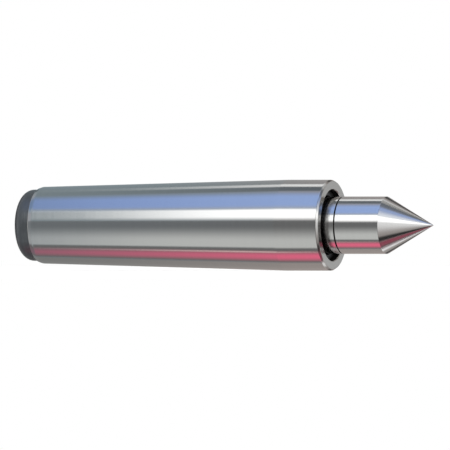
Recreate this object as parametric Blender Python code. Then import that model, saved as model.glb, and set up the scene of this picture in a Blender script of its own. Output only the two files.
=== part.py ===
"""Live center with a Morse No. 5 shank and its bearings inside the shank.

Metres, +Z up. The axis of rotation is X, with the point towards +X.
The origin is on that axis, in the gauge plane of the Morse taper.
"""

import math

import bmesh
import bpy
import numpy as np
from mathutils import Matrix, Vector

MM = 0.001

# Fits: the clear space left between pieces that touch, and at rolling contacts.
SEAT_GAP = 0.15 * MM
ROLLING_GAP = 0.12 * MM

# Facets round the axis: pieces in sight, rings inside, needles and ball pockets.
OUTER_STEPS = 48
INNER_STEPS = 28
NEEDLE_STEPS = 8
BALL_STEPS = 8
BALL_RINGS = 6
POCKET_STEPS = 10
SEALING_RING_STEPS = 6

# Morse No. 5 taper and the straight collar at its large end.
GAUGE_DIAMETER = 44.399 * MM
TAPER_RATE = 1 / 19.002
COLLAR_DIAMETER = 44.7 * MM
COLLAR_LENGTH = 23.28 * MM
COLLAR_START = (COLLAR_DIAMETER - GAUGE_DIAMETER) / TAPER_RATE
FACE = COLLAR_START + COLLAR_LENGTH
FACE_CHAMFER_LENGTH = 1.15 * MM
FACE_CHAMFER_ANGLE = math.radians(30)
TAPER_SMALL_END = -122.9 * MM
SHANK_REAR = -125 * MM
SHANK_REAR_DIAMETER = 36.6 * MM

# Bores of the shank, from the mouth to the small end.
FRONT_BORE_DIAMETER = 35 * MM
MOUTH_CHAMFER = 0.4 * MM
FRONT_BORE_FLOOR = -12.8 * MM
MIDDLE_BORE_DIAMETER = 23 * MM
REAR_SEAT_DIAMETER = 22 * MM
REAR_SEAT_START = -74 * MM
CHAMBER_START = -93 * MM
CHAMBER_DIAMETER = 29 * MM
PLUG_THREAD_START = -106 * MM
PLUG_THREAD_DIAMETER = 30 * MM

# Spindle: nose and point in front, journals and thread behind.
NOSE_DIAMETER = 28.2 * MM
POINT_INCLUDED_ANGLE = math.radians(60)
POINT_BASE = 57.2 * MM
POINT_TIP_RADIUS = 0.12 * MM
GROOVE_CENTRE = 34.35 * MM
GROOVE_WIDTH = 0.7 * MM
GROOVE_DEPTH = 0.5 * MM
FRONT_JOURNAL_DIAMETER = 28 * MM
THRUST_SHOULDER = -2.4 * MM
THRUST_JOURNAL_DIAMETER = 20 * MM
NECK_DIAMETER = 18 * MM
NECK_START = -16 * MM
NECK_END = -70 * MM
REAR_JOURNAL_DIAMETER = 16 * MM
TAIL_DIAMETER = 15 * MM
TAIL_END = -109.5 * MM
TAIL_CHAMFER = 1 * MM
CENTRE_HOLE_DIAMETER = 6 * MM
CENTRE_HOLE_DEPTH = 5 * MM
KEYWAY_WIDTH = 4 * MM
KEYWAY_DEPTH = 1.8 * MM
KEYWAY_LENGTH = 14 * MM

# Black end plug, and the sealing ring under its head.
PLUG_DIAMETER = 35.2 * MM
PLUG_STRAIGHT = 2.8 * MM
PLUG_ROUND_AXIAL = 6.2 * MM
PLUG_ROUND_RADIAL = 7.7 * MM
PLUG_ROUND_STEPS = 5
PLUG_THREAD_LENGTH = 12.4 * MM
PLUG_SOCKET_FLATS = 14 * MM
PLUG_SOCKET_DEPTH = 7 * MM
SEALING_RING_THICKNESS = 1.6 * MM
SEALING_RING_GROOVE = 2.2 * MM

# Retaining ring and shaft seal in the mouth.
RETAINING_RING_RECESS = 2.8 * MM
RETAINING_RING_WIDTH = 4 * MM
RETAINING_RING_BORE = 29.2 * MM
SPANNER_SLOTS = 4
SPANNER_SLOT_WIDTH = 3 * MM
SPANNER_SLOT_DEPTH = 1.6 * MM
SEAL_WIDTH = 4 * MM
SEAL_CASE_WALL = 0.8 * MM
SEAL_CASE_BORE = 31 * MM
SEAL_LIP_CLEARANCE = 0.25 * MM
SEAL_LIP_ROOT = 1 * MM

# Front radial bearing, 28 x 35 x 20.
FRONT_NEEDLES = 24
FRONT_NEEDLE_DIAMETER = 2.24 * MM
FRONT_NEEDLE_LENGTH = 15.6 * MM
FRONT_CUP_LENGTH = 20 * MM
FRONT_CUP_WALL = 0.85 * MM
FRONT_CAGE_WALL = 1 * MM
CUP_STEPS = 32
CUP_LIP = 0.8 * MM

# Thrust ball bearing, 20 x 35 x 10.
THRUST_BALLS = 12
THRUST_BALL_DIAMETER = 5.5 * MM
THRUST_BEARING_HEIGHT = 10 * MM
THRUST_WASHER_WIDTH = 2.8 * MM
THRUST_PITCH_DIAMETER = 27.5 * MM
THRUST_CAGE_WIDTH = 1.8 * MM
THRUST_CAGE_HALF_HEIGHT = 3.4 * MM
SHAFT_WASHER_CLEARANCE = 0.5 * MM
HOUSING_WASHER_CLEARANCE = 0.6 * MM
RACE_STEPS = 4

# Rear radial bearing, 16 x 22 x 16.
REAR_NEEDLES = 14
REAR_NEEDLE_DIAMETER = 1.84 * MM
REAR_NEEDLE_LENGTH = 12 * MM
REAR_CUP_LENGTH = 16 * MM
REAR_CUP_WALL = 0.75 * MM
REAR_CAGE_WALL = 0.85 * MM

# Rear thrust bearing, 15 x 28, then springs, tab washer and lock nut.
REAR_THRUST_OUTER = 28 * MM
REAR_THRUST_BORE = 15.4 * MM
REAR_WASHER_WIDTH = 1 * MM
REAR_THRUST_NEEDLES = 12
REAR_THRUST_NEEDLE_DIAMETER = 1.8 * MM
REAR_THRUST_CAGE_WIDTH = 1.1 * MM
REAR_THRUST_CAGE_RIM = 1 * MM
RUNNING_CLEARANCE = 0.3 * MM
DISC_SPRING_THICKNESS = 1.25 * MM
DISC_SPRING_CONE = 0.65 * MM
TAB_WASHER_WIDTH = 1 * MM
TAB_WASHER_DIAMETER = 24 * MM
TAB_COUNT = 11
TAB_WIDTH = 3 * MM
TAB_REACH = 1.6 * MM
LOCK_NUT_WIDTH = 5 * MM
LOCK_NUT_DIAMETER = 25 * MM
LOCK_NUT_SLOTS = 4
LOCK_NUT_SLOT_WIDTH = 4 * MM
LOCK_NUT_SLOT_DEPTH = 2 * MM

# How far a cutting or joining shape runs past the surface that it meets.
OVERRUN = 1 * MM

AXIS_MARK_SIZE = 20 * MM
SHARP_EDGE = math.radians(25)


def clear_scene():
    """Remove every object that the opened file holds."""
    for thing in list(bpy.data.objects):
        bpy.data.objects.remove(thing, do_unlink=True)


def metal(name, colour, roughness, metallic=1.0):
    """Return a Principled material of the given colour and finish."""
    material = bpy.data.materials.new(name)
    material.use_nodes = True
    shader = material.node_tree.nodes["Principled BSDF"]
    shader.inputs["Base Color"].default_value = (*colour, 1.0)
    shader.inputs["Roughness"].default_value = roughness
    shader.inputs["Metallic"].default_value = metallic
    return material


def axis_empty(name):
    """Return an empty on the axis of rotation, which carries one moving set."""
    empty = bpy.data.objects.new(name, None)
    empty.empty_display_size = AXIS_MARK_SIZE
    bpy.context.collection.objects.link(empty)
    return empty


def add_object(name, work, material, carrier=None, station=0.0):
    """Turn a bmesh into a named object at a station along the axis."""
    bmesh.ops.recalc_face_normals(work, faces=work.faces)
    mesh = bpy.data.meshes.new(name)
    work.to_mesh(mesh)
    work.free()
    mesh.shade_smooth()
    mesh.set_sharp_from_angle(angle=SHARP_EDGE)
    mesh.materials.append(material)
    thing = bpy.data.objects.new(name, mesh)
    thing.location.x = station
    thing.parent = carrier
    bpy.context.collection.objects.link(thing)
    return thing


def spin_profile(profile, steps, closed):
    """Carry a profile of (axial, radius) points once round the X axis."""
    work = bmesh.new()
    points = [work.verts.new((axial, 0.0, radius)) for axial, radius in profile]
    edges = [work.edges.new(pair) for pair in zip(points, points[1:])]
    if closed:
        edges.append(work.edges.new((points[-1], points[0])))
    bmesh.ops.spin(
        work,
        geom=points + edges,
        cent=(0, 0, 0),
        axis=(1, 0, 0),
        angle=math.tau,
        steps=steps,
        use_merge=True,
    )
    bmesh.ops.remove_doubles(work, verts=work.verts, dist=1e-7)
    return work


def ring_bmesh(profile, steps=INNER_STEPS):
    """Return a ring turned from a closed profile that stays off the axis."""
    return spin_profile(profile, steps, closed=True)


def solid_bmesh(profile, steps=OUTER_STEPS):
    """Return a solid turned from a profile that starts and ends on the axis."""
    return spin_profile(profile, steps, closed=False)


def section(start, end, bore, outer):
    """Return the rectangular section of a plain ring."""
    return [(start, bore), (start, outer), (end, outer), (end, bore)]


def bar_bmesh(radius, length, steps, along):
    """Return a round bar of the given length, centred, along an axis."""
    work = bmesh.new()
    bmesh.ops.create_cone(
        work,
        cap_ends=True,
        segments=steps,
        radius1=radius,
        radius2=radius,
        depth=length,
    )
    turn = Vector((0, 0, 1)).rotation_difference(Vector(along)).to_matrix()
    bmesh.ops.rotate(work, verts=work.verts, matrix=turn)
    return work


def block_bmesh(low, high):
    """Return a box between two opposite corners."""
    work = bmesh.new()
    bmesh.ops.create_cube(work, size=1.0)
    low = Vector(low)
    high = Vector(high)
    bmesh.ops.scale(work, verts=work.verts, vec=high - low)
    bmesh.ops.translate(work, verts=work.verts, vec=(high + low) / 2)
    return work


def repeat_round(make, count, start=0.0):
    """Join copies of a shape, spread evenly round the X axis."""
    joined = bmesh.new()
    for turn in range(count):
        copy = make()
        angle = start + math.tau * turn / count
        copy.transform(Matrix.Rotation(angle, 4, "X"))
        scratch = bpy.data.meshes.new("scratch")
        copy.to_mesh(scratch)
        copy.free()
        joined.from_mesh(scratch)
        bpy.data.meshes.remove(scratch)
    return joined


def boolean(target, work, operation):
    """Cut a shape from a piece, or fuse it on, and keep the tool as a guide."""
    tool = add_object(f"{target.name}_{operation.lower()}", work, target.data.materials[0])
    tool.location = target.location
    tool.hide_render = True
    tool.display_type = "WIRE"
    modifier = target.modifiers.new(operation.title(), "BOOLEAN")
    modifier.operation = operation
    modifier.solver = "EXACT"
    modifier.object = tool


def taper_radius(axial):
    """Return the shank's radius on the Morse taper."""
    return (GAUGE_DIAMETER + TAPER_RATE * axial) / 2


def make_shank(steel):
    """Ground hollow shank: Morse taper, collar, chamfered ends and stepped bores."""
    chamfer_depth = FACE_CHAMFER_LENGTH * math.tan(FACE_CHAMFER_ANGLE)
    profile = [
        (SHANK_REAR, PLUG_THREAD_DIAMETER / 2),
        (SHANK_REAR, SHANK_REAR_DIAMETER / 2),
        (TAPER_SMALL_END, taper_radius(TAPER_SMALL_END)),
        (COLLAR_START, COLLAR_DIAMETER / 2),
        (FACE - FACE_CHAMFER_LENGTH, COLLAR_DIAMETER / 2),
        (FACE, COLLAR_DIAMETER / 2 - chamfer_depth),
        (FACE, FRONT_BORE_DIAMETER / 2 + MOUTH_CHAMFER),
        (FACE - MOUTH_CHAMFER, FRONT_BORE_DIAMETER / 2),
        (FRONT_BORE_FLOOR, FRONT_BORE_DIAMETER / 2),
        (FRONT_BORE_FLOOR, MIDDLE_BORE_DIAMETER / 2),
        (REAR_SEAT_START, MIDDLE_BORE_DIAMETER / 2),
        (REAR_SEAT_START, REAR_SEAT_DIAMETER / 2),
        (CHAMBER_START, REAR_SEAT_DIAMETER / 2),
        (CHAMBER_START, CHAMBER_DIAMETER / 2),
        (PLUG_THREAD_START, CHAMBER_DIAMETER / 2),
        (PLUG_THREAD_START, PLUG_THREAD_DIAMETER / 2),
    ]
    add_object("shank_body", ring_bmesh(profile, OUTER_STEPS), steel)


def make_plug(black_steel, rubber):
    """Black threaded plug with a well rounded end, a hexagon socket and a sealing ring."""
    head = SHANK_REAR - SEAT_GAP
    rim = PLUG_DIAMETER / 2
    thread = PLUG_THREAD_DIAMETER / 2 - SEAT_GAP
    thread_end = head + PLUG_THREAD_LENGTH
    groove_floor = thread - SEALING_RING_THICKNESS
    round_start = head - PLUG_STRAIGHT
    round_end = round_start - PLUG_ROUND_AXIAL
    profile = [
        (thread_end, 0.0),
        (thread_end, thread),
        (head + SEALING_RING_GROOVE, thread),
        (head + SEALING_RING_GROOVE, groove_floor),
        (head, groove_floor),
        (head, rim),
    ]
    for turn in np.linspace(0.0, math.pi / 2, PLUG_ROUND_STEPS + 1):
        axial = round_start - PLUG_ROUND_AXIAL * math.sin(turn)
        radius = rim - PLUG_ROUND_RADIAL * (1 - math.cos(turn))
        profile.append((axial, radius))
    profile.append((round_end, 0.0))
    plug = add_object("rear_plug", solid_bmesh(profile), black_steel)
    corner = PLUG_SOCKET_FLATS / math.sqrt(3)
    socket = bar_bmesh(corner, 2 * PLUG_SOCKET_DEPTH, 6, (1, 0, 0))
    bmesh.ops.translate(socket, verts=socket.verts, vec=(round_end, 0, 0))
    boolean(plug, socket, "DIFFERENCE")

    half = SEALING_RING_THICKNESS / 2 - SEAT_GAP
    middle = (groove_floor + thread) / 2
    turns = np.linspace(0.0, math.tau, SEALING_RING_STEPS, endpoint=False)
    ring = [(half * math.cos(turn), middle + half * math.sin(turn)) for turn in turns]
    station = head + SEALING_RING_GROOVE / 2
    add_object("plug_sealing_ring", ring_bmesh(ring), rubber, station=station)


def make_mouth(black_steel, steel, rubber):
    """Retaining ring and shaft seal between the mouth and the front bearing."""
    bore = FRONT_BORE_DIAMETER / 2 - SEAT_GAP
    front = FACE - RETAINING_RING_RECESS
    back = front - RETAINING_RING_WIDTH
    ring = add_object(
        "retaining_ring",
        ring_bmesh(section(back, front, RETAINING_RING_BORE / 2, bore), OUTER_STEPS),
        black_steel,
    )

    def slot():
        half = SPANNER_SLOT_WIDTH / 2
        low = (front - SPANNER_SLOT_DEPTH, -half, RETAINING_RING_BORE / 2 - OVERRUN)
        high = (front + OVERRUN, half, bore + OVERRUN)
        return block_bmesh(low, high)

    boolean(ring, repeat_round(slot, SPANNER_SLOTS, math.pi / 4), "DIFFERENCE")

    seal_front = back - SEAT_GAP
    seal_back = seal_front - SEAL_WIDTH
    wall = bore - SEAL_CASE_WALL
    case = [
        (seal_back, wall),
        (seal_back, bore),
        (seal_front, bore),
        (seal_front, SEAL_CASE_BORE / 2),
        (seal_front - SEAL_CASE_WALL, SEAL_CASE_BORE / 2),
        (seal_front - SEAL_CASE_WALL, wall),
    ]
    add_object("seal_case", ring_bmesh(case), steel)
    lip_front = seal_front - SEAL_CASE_WALL - SEAT_GAP
    tip = FRONT_JOURNAL_DIAMETER / 2 + SEAL_LIP_CLEARANCE
    root = wall - SEAT_GAP
    middle = (lip_front + seal_back) / 2
    lip = [
        (seal_back, root),
        (lip_front, root),
        (lip_front, SEAL_CASE_BORE / 2),
        (middle, tip),
        (seal_back, tip + SEAL_LIP_ROOT / 2),
        (middle, root - SEAL_LIP_ROOT),
        (seal_back, root - SEAL_LIP_ROOT),
    ]
    add_object("seal_lip", ring_bmesh(lip), rubber)
    return seal_back - SEAT_GAP


def cup_section(length, outer, wall, lip_bore):
    """Return the section of a drawn cup with a lip turned in at each end."""
    inner = outer - wall
    return [
        (0.0, outer),
        (0.0, lip_bore),
        (-CUP_LIP, lip_bore),
        (-CUP_LIP, inner),
        (CUP_LIP - length, inner),
        (CUP_LIP - length, lip_bore),
        (-length, lip_bore),
        (-length, outer),
    ]


def make_front_bearing(start, carrier, steel, roller_steel, cage_steel):
    """Front needle bearing: drawn cup, windowed cage and separate needles."""
    outer = FRONT_BORE_DIAMETER / 2 - SEAT_GAP
    journal = FRONT_JOURNAL_DIAMETER / 2
    pitch = journal + ROLLING_GAP + FRONT_NEEDLE_DIAMETER / 2
    cage_bore = pitch - FRONT_CAGE_WALL / 2
    cage_outer = pitch + FRONT_CAGE_WALL / 2
    cup = cup_section(FRONT_CUP_LENGTH, outer, FRONT_CUP_WALL, cage_bore)
    add_object("front_needle_cup", ring_bmesh(cup, CUP_STEPS), steel, station=start)

    middle = start - FRONT_CUP_LENGTH / 2
    half_cage = FRONT_CUP_LENGTH / 2 - CUP_LIP - SEAT_GAP
    steps = 2 * FRONT_NEEDLES
    ring = ring_bmesh(section(-half_cage, half_cage, cage_bore, cage_outer), steps)
    cage = add_object("front_needle_cage", ring, cage_steel, carrier, middle)
    half_window = FRONT_NEEDLE_LENGTH / 2 + SEAT_GAP
    half_width = FRONT_NEEDLE_DIAMETER / 2 + SEAT_GAP

    def window():
        low = (-half_window, -half_width, cage_bore - OVERRUN)
        high = (half_window, half_width, cage_outer + OVERRUN)
        return block_bmesh(low, high)

    boolean(cage, repeat_round(window, FRONT_NEEDLES), "DIFFERENCE")

    needle = bar_bmesh(FRONT_NEEDLE_DIAMETER / 2, FRONT_NEEDLE_LENGTH, NEEDLE_STEPS, (1, 0, 0))
    first = add_object("front_needle_01", needle, roller_steel, carrier)
    for turn in range(FRONT_NEEDLES):
        thing = first
        if turn:
            thing = bpy.data.objects.new(f"front_needle_{turn + 1:02d}", first.data)
            thing.parent = carrier
            bpy.context.collection.objects.link(thing)
        angle = math.tau * turn / FRONT_NEEDLES
        thing.location = (middle, -pitch * math.sin(angle), pitch * math.cos(angle))
        thing.rotation_euler.x = angle
    return start - FRONT_CUP_LENGTH


def race_section(bore, outer):
    """Return a thrust washer's section, with its ball race facing +X."""
    ball = THRUST_BALL_DIAMETER / 2
    race = ball + 2 * ROLLING_GAP
    pitch = THRUST_PITCH_DIAMETER / 2
    height = (THRUST_BEARING_HEIGHT - 2 * THRUST_WASHER_WIDTH) / 2
    reach = math.acos(height / race)
    profile = [(-THRUST_WASHER_WIDTH, bore), (-THRUST_WASHER_WIDTH, outer), (0.0, outer)]
    for turn in np.linspace(reach, -reach, RACE_STEPS + 1):
        profile.append((height - race * math.cos(turn), pitch + race * math.sin(turn)))
    profile.append((0.0, bore))
    return profile


def make_thrust_bearing(spindle_set, ball_set, steel, roller_steel, cage_steel):
    """Thrust ball bearing between the spindle's shoulder and the floor of the front bore."""
    front = THRUST_SHOULDER - SEAT_GAP
    back = front - THRUST_BEARING_HEIGHT
    middle = (front + back) / 2
    pitch = THRUST_PITCH_DIAMETER / 2
    journal = THRUST_JOURNAL_DIAMETER / 2
    housing = FRONT_BORE_DIAMETER / 2

    shaft_washer = race_section(journal + SEAT_GAP, housing - SHAFT_WASHER_CLEARANCE)
    shaft_washer = [(-axial, radius) for axial, radius in shaft_washer]
    work = ring_bmesh(shaft_washer)
    add_object("thrust_shaft_washer", work, steel, spindle_set, front - THRUST_WASHER_WIDTH)
    work = ring_bmesh(race_section(journal + HOUSING_WASHER_CLEARANCE, housing - SEAT_GAP))
    add_object("thrust_housing_washer", work, steel, station=back + THRUST_WASHER_WIDTH)

    half = THRUST_CAGE_WIDTH / 2
    cage_bore = pitch - THRUST_CAGE_HALF_HEIGHT
    cage_outer = pitch + THRUST_CAGE_HALF_HEIGHT
    plate = ring_bmesh(section(-half, half, cage_bore, cage_outer), 2 * THRUST_BALLS)
    cage = add_object("thrust_ball_cage", plate, cage_steel, ball_set, middle)
    ball_radius = THRUST_BALL_DIAMETER / 2
    pocket_radius = (ball_radius + SEAT_GAP) / math.cos(math.pi / POCKET_STEPS)

    def pocket():
        work = bar_bmesh(pocket_radius, 2 * THRUST_CAGE_WIDTH, POCKET_STEPS, (1, 0, 0))
        bmesh.ops.translate(work, verts=work.verts, vec=(0, 0, pitch))
        return work

    boolean(cage, repeat_round(pocket, THRUST_BALLS), "DIFFERENCE")

    ball = bmesh.new()
    bmesh.ops.create_uvsphere(ball, u_segments=BALL_STEPS, v_segments=BALL_RINGS, radius=ball_radius)
    first = add_object("thrust_ball_01", ball, roller_steel, ball_set)
    for turn in range(THRUST_BALLS):
        thing = first
        if turn:
            thing = bpy.data.objects.new(f"thrust_ball_{turn + 1:02d}", first.data)
            thing.parent = ball_set
            bpy.context.collection.objects.link(thing)
        angle = math.tau * turn / THRUST_BALLS
        thing.location = (middle, -pitch * math.sin(angle), pitch * math.cos(angle))
        thing.rotation_euler.x = angle


def make_rear_bearing(carrier, steel, roller_steel):
    """Rear needle bearing: drawn cup, and a cage that carries its needles."""
    outer = REAR_SEAT_DIAMETER / 2 - SEAT_GAP
    pitch = REAR_JOURNAL_DIAMETER / 2 + ROLLING_GAP + REAR_NEEDLE_DIAMETER / 2
    cage_bore = pitch - REAR_CAGE_WALL / 2
    cage_outer = pitch + REAR_CAGE_WALL / 2
    start = REAR_SEAT_START - SEAT_GAP
    cup = cup_section(REAR_CUP_LENGTH, outer, REAR_CUP_WALL, cage_bore)
    add_object("rear_needle_cup", ring_bmesh(cup), steel, station=start)

    middle = start - REAR_CUP_LENGTH / 2
    half_cage = REAR_CUP_LENGTH / 2 - CUP_LIP - SEAT_GAP
    steps = 2 * REAR_NEEDLES
    ring = ring_bmesh(section(-half_cage, half_cage, cage_bore, cage_outer), steps)
    cage = add_object("rear_needle_cage", ring, roller_steel, carrier, middle)

    def needle():
        work = bar_bmesh(REAR_NEEDLE_DIAMETER / 2, REAR_NEEDLE_LENGTH, NEEDLE_STEPS, (1, 0, 0))
        bmesh.ops.translate(work, verts=work.verts, vec=(0, 0, pitch))
        return work

    boolean(cage, repeat_round(needle, REAR_NEEDLES), "UNION")


def make_rear_thrust(spindle_set, needle_set, steel, roller_steel):
    """Rear thrust needle bearing: fixed washer, needle cage and turning washer."""
    bore = REAR_THRUST_BORE / 2
    outer = REAR_THRUST_OUTER / 2
    front = CHAMBER_START - SEAT_GAP
    washer = section(-REAR_WASHER_WIDTH, 0.0, bore + RUNNING_CLEARANCE, outer)
    add_object("rear_thrust_fixed_washer", ring_bmesh(washer), steel, station=front)

    needle_radius = REAR_THRUST_NEEDLE_DIAMETER / 2
    middle = front - REAR_WASHER_WIDTH - ROLLING_GAP - needle_radius
    cage_bore = bore + RUNNING_CLEARANCE
    cage_outer = outer - RUNNING_CLEARANCE
    half = REAR_THRUST_CAGE_WIDTH / 2
    steps = 2 * REAR_THRUST_NEEDLES
    ring = ring_bmesh(section(-half, half, cage_bore, cage_outer), steps)
    cage = add_object("rear_thrust_cage", ring, roller_steel, needle_set, middle)
    length = cage_outer - cage_bore - 2 * REAR_THRUST_CAGE_RIM

    def needle():
        work = bar_bmesh(needle_radius, length, NEEDLE_STEPS, (0, 0, 1))
        bmesh.ops.translate(work, verts=work.verts, vec=(0, 0, (cage_bore + cage_outer) / 2))
        return work

    boolean(cage, repeat_round(needle, REAR_THRUST_NEEDLES), "UNION")

    turning = middle - needle_radius - ROLLING_GAP
    washer = section(-REAR_WASHER_WIDTH, 0.0, bore, outer)
    work = ring_bmesh(washer)
    add_object("rear_thrust_turning_washer", work, steel, spindle_set, turning)
    return turning - REAR_WASHER_WIDTH - SEAT_GAP


def make_tail(start, spindle_set, spring_steel, steel):
    """Disc springs, tab washer and slotted lock nut on the spindle's tail."""
    bore = REAR_THRUST_BORE / 2
    outer = REAR_THRUST_OUTER / 2 - RUNNING_CLEARANCE
    height = DISC_SPRING_THICKNESS + DISC_SPRING_CONE
    cone = [
        (-DISC_SPRING_CONE, bore),
        (0.0, outer),
        (-DISC_SPRING_THICKNESS, outer),
        (-height, bore),
    ]
    add_object("disc_spring_front", ring_bmesh(cone), spring_steel, spindle_set, start)
    mirrored = [(-height - axial, radius) for axial, radius in cone]
    second = start - height - SEAT_GAP
    add_object("disc_spring_rear", ring_bmesh(mirrored), spring_steel, spindle_set, second)

    tab_start = second - height - SEAT_GAP
    rim = TAB_WASHER_DIAMETER / 2
    plate = ring_bmesh(section(-TAB_WASHER_WIDTH, 0.0, bore, rim), 2 * TAB_COUNT)
    washer = add_object("tab_washer", plate, steel, spindle_set, tab_start)

    def tab():
        low = (-TAB_WASHER_WIDTH, -TAB_WIDTH / 2, rim - OVERRUN)
        high = (0.0, TAB_WIDTH / 2, rim + TAB_REACH)
        return block_bmesh(low, high)

    tabs = repeat_round(tab, TAB_COUNT)
    half_key = KEYWAY_WIDTH / 2 - SEAT_GAP
    key_floor = TAIL_DIAMETER / 2 - KEYWAY_DEPTH + SEAT_GAP
    inner_tab = block_bmesh((-TAB_WASHER_WIDTH, -half_key, key_floor), (0.0, half_key, bore + OVERRUN))
    scratch = bpy.data.meshes.new("scratch")
    inner_tab.to_mesh(scratch)
    inner_tab.free()
    tabs.from_mesh(scratch)
    bpy.data.meshes.remove(scratch)
    boolean(washer, tabs, "UNION")

    nut_start = tab_start - TAB_WASHER_WIDTH - SEAT_GAP
    nut_rim = LOCK_NUT_DIAMETER / 2
    blank = ring_bmesh(section(-LOCK_NUT_WIDTH, 0.0, bore, nut_rim))
    nut = add_object("lock_nut", blank, steel, spindle_set, nut_start)

    def slot():
        half = LOCK_NUT_SLOT_WIDTH / 2
        low = (-LOCK_NUT_WIDTH - OVERRUN, -half, nut_rim - LOCK_NUT_SLOT_DEPTH)
        high = (OVERRUN, half, nut_rim + OVERRUN)
        return block_bmesh(low, high)

    boolean(nut, repeat_round(slot, LOCK_NUT_SLOTS, math.pi / 4), "DIFFERENCE")


def make_spindle(carrier, steel):
    """Hardened spindle: 60 degree point, nose, journals and threaded tail with its keyway."""
    nose = NOSE_DIAMETER / 2
    journal = FRONT_JOURNAL_DIAMETER / 2
    slope = math.tan(POINT_INCLUDED_ANGLE / 2)
    tip = POINT_BASE + (nose - POINT_TIP_RADIUS) / slope
    groove_front = GROOVE_CENTRE + GROOVE_WIDTH / 2
    groove_back = GROOVE_CENTRE - GROOVE_WIDTH / 2
    tail = TAIL_DIAMETER / 2
    profile = [
        (TAIL_END + CENTRE_HOLE_DEPTH, 0.0),
        (TAIL_END, CENTRE_HOLE_DIAMETER / 2),
        (TAIL_END, tail - TAIL_CHAMFER),
        (TAIL_END + TAIL_CHAMFER, tail),
        (CHAMBER_START, tail),
        (CHAMBER_START, REAR_JOURNAL_DIAMETER / 2),
        (NECK_END, REAR_JOURNAL_DIAMETER / 2),
        (NECK_END, NECK_DIAMETER / 2),
        (NECK_START, NECK_DIAMETER / 2),
        (NECK_START, THRUST_JOURNAL_DIAMETER / 2),
        (THRUST_SHOULDER, THRUST_JOURNAL_DIAMETER / 2),
        (THRUST_SHOULDER, journal),
        (groove_back, journal),
        (groove_back, journal - GROOVE_DEPTH),
        (groove_front, journal - GROOVE_DEPTH),
        (groove_front, nose),
        (POINT_BASE, nose),
        (tip, POINT_TIP_RADIUS),
        (tip, 0.0),
    ]
    spindle = add_object("spindle", solid_bmesh(profile), steel, carrier)
    low = (TAIL_END - OVERRUN, -KEYWAY_WIDTH / 2, tail - KEYWAY_DEPTH)
    high = (TAIL_END + KEYWAY_LENGTH, KEYWAY_WIDTH / 2, tail + OVERRUN)
    boolean(spindle, block_bmesh(low, high), "DIFFERENCE")


def build():
    """Make every piece, from the shank outwards to the spindle's tail."""
    clear_scene()
    ground = metal("ground_steel", (0.62, 0.62, 0.61), 0.26)
    hardened = metal("hardened_steel", (0.66, 0.66, 0.65), 0.18)
    bearing = metal("bearing_steel", (0.55, 0.56, 0.57), 0.22)
    roller = metal("roller_steel", (0.70, 0.70, 0.71), 0.10)
    cage = metal("cage_steel", (0.42, 0.42, 0.43), 0.40)
    spring = metal("spring_steel", (0.22, 0.21, 0.20), 0.35)
    black = metal("black_oxide_steel", (0.14, 0.15, 0.16), 0.4)
    rubber = metal("nitrile_rubber", (0.015, 0.015, 0.016), 0.60, 0.0)

    spindle_axis = axis_empty("spindle_axis")
    front_cage_axis = axis_empty("front_cage_axis")
    thrust_cage_axis = axis_empty("thrust_cage_axis")
    rear_cage_axis = axis_empty("rear_cage_axis")
    rear_thrust_axis = axis_empty("rear_thrust_axis")

    make_shank(ground)
    make_plug(black, rubber)
    bearing_start = make_mouth(black, cage, rubber)
    make_front_bearing(bearing_start, front_cage_axis, bearing, roller, cage)
    make_thrust_bearing(spindle_axis, thrust_cage_axis, bearing, roller, cage)
    make_rear_bearing(rear_cage_axis, bearing, roller)
    tail_start = make_rear_thrust(spindle_axis, rear_thrust_axis, bearing, roller)
    make_tail(tail_start, spindle_axis, spring, bearing)
    make_spindle(spindle_axis, hardened)


build()
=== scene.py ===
import math

import bpy
import numpy as np
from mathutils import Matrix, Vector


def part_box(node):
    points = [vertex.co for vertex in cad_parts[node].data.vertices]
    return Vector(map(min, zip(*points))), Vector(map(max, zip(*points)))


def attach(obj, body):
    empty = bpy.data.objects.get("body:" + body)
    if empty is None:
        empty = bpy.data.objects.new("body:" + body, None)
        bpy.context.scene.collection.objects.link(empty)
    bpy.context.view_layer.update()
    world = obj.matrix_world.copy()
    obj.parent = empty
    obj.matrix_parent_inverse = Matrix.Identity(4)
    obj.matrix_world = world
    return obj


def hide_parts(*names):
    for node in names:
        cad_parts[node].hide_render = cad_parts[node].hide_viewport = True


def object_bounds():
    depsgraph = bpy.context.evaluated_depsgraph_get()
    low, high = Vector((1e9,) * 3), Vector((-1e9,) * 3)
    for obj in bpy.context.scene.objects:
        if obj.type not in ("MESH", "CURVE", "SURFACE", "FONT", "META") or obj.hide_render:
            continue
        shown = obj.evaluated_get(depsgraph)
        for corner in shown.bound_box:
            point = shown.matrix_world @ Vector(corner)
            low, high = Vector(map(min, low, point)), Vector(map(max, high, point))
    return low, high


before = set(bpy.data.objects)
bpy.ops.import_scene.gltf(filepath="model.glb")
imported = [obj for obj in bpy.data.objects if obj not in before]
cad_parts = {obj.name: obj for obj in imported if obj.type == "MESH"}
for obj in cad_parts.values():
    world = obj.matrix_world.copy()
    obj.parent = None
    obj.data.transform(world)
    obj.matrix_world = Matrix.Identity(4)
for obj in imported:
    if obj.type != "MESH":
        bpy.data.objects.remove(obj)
cad_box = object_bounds()

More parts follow.
